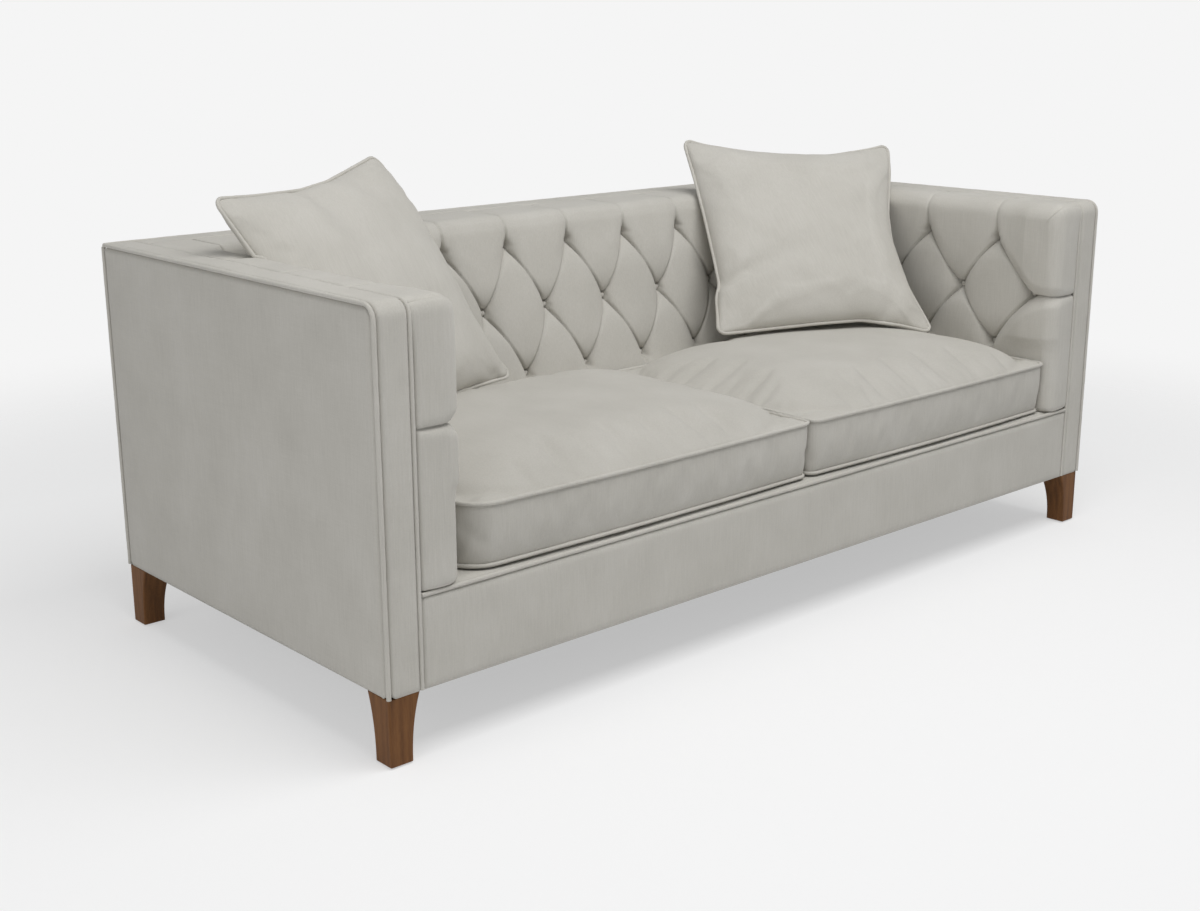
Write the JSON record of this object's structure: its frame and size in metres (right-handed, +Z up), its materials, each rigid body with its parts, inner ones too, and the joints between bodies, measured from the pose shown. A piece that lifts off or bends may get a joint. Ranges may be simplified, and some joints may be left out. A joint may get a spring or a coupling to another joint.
{
  "type": "deep-buttoned sofa",
  "caption": "Square-arm sofa with a deep-buttoned back and arms, loose box seat cushions, scatter cushions and tapered wooden legs.",
  "frame": {"origin": "on the floor under the middle of the sofa, halfway between its arms and between its front and back faces", "axes": "+X to the right seen from the front, -Y out of the front, +Z up"},
  "size_m": [2.1, 0.96, 0.9517],
  "materials": {
    "linen_cover": "matte woven linen blend, pale warm grey",
    "seat_linen": "matte woven linen blend, pale warm grey, crowned cushions",
    "scatter_linen": "matte woven linen blend, pale warm grey, piped",
    "hessian_and_twine": "coarse jute hessian, waxed twine and covered buttons",
    "black_dust_cloth": "black spun-bond bottom cloth",
    "beech_frame": "planed, unfinished",
    "walnut_legs": "satin lacquered walnut stain",
    "spring_steel": "drawn spring wire"
  },
  "bodies": {
    "sofa": {"front_seat_rail": "beech_frame", "back_seat_rail": "beech_frame", "side_seat_rail_right": "beech_frame", "side_seat_rail_left": "beech_frame", "rear_spring_rail": "beech_frame", "centre_stretcher": "beech_frame", "corner_block_back_right": "beech_frame", "corner_block_back_left": "beech_frame", "corner_block_front_right": "beech_frame", "corner_block_front_left": "beech_frame", "arm_back_post_right": "beech_frame", "arm_back_post_left": "beech_frame", "arm_front_post_right": "beech_frame", "arm_front_post_left": "beech_frame", "arm_top_rail_right": "beech_frame", "arm_top_rail_left": "beech_frame", "arm_stay_right": "beech_frame", "arm_stay_left": "beech_frame", "back_top_rail": "beech_frame", "back_upright_right": "beech_frame", "back_upright_left": "beech_frame", "zigzag_spring_1": "spring_steel", "zigzag_spring_2": "spring_steel", "zigzag_spring_3": "spring_steel", "zigzag_spring_4": "spring_steel", "zigzag_spring_5": "spring_steel", "zigzag_spring_6": "spring_steel", "zigzag_spring_7": "spring_steel", "zigzag_spring_8": "spring_steel", "seat_deck": "linen_cover", "back_button_ties": "hessian_and_twine", "arm_button_ties_right": "hessian_and_twine", "arm_button_ties_left": "hessian_and_twine", "back_pad": "linen_cover", "arm_pad_right": "linen_cover", "arm_pad_left": "linen_cover", "outer_arm_right": "linen_cover", "outer_arm_left": "linen_cover", "outer_back": "linen_cover", "front_rail_cover": "linen_cover", "arm_band_right": "linen_cover", "arm_band_left": "linen_cover", "back_band": "linen_cover", "dust_cloth": "black_dust_cloth", "outer_arm_welt_right": "linen_cover", "outer_arm_welt_left": "linen_cover", "facing_welt_right": "linen_cover", "facing_welt_left": "linen_cover", "front_rail_welt": "linen_cover", "outer_back_welt": "linen_cover", "leg_back_right": "walnut_legs", "leg_back_left": "walnut_legs", "leg_front_right": "walnut_legs", "leg_front_left": "walnut_legs"},
    "seat_cushion_left": {"seat_cushion_left": "seat_linen"},
    "seat_cushion_right": {"seat_cushion_right": "seat_linen"},
    "scatter_cushion_left": {"scatter_cushion_left": "scatter_linen"},
    "scatter_cushion_right": {"scatter_cushion_right": "scatter_linen"}
  },
  "joints": [
    {"name": "lift_seat_cushion_left", "type": "slide", "parent": "sofa", "child": "seat_cushion_left", "axis": [0, 0, 1], "range_m": [0, 0.66]},
    {"name": "lift_seat_cushion_right", "type": "slide", "parent": "sofa", "child": "seat_cushion_right", "axis": [0, 0, 1], "range_m": [0, 0.66]},
    {"name": "lift_scatter_cushion_left", "type": "slide", "parent": "seat_cushion_left", "child": "scatter_cushion_left", "axis": [0, 0, 1], "range_m": [0, 0.5]},
    {"name": "lift_scatter_cushion_right", "type": "slide", "parent": "seat_cushion_right", "child": "scatter_cushion_right", "axis": [0, 0, 1], "range_m": [0, 0.5]}
  ]
}
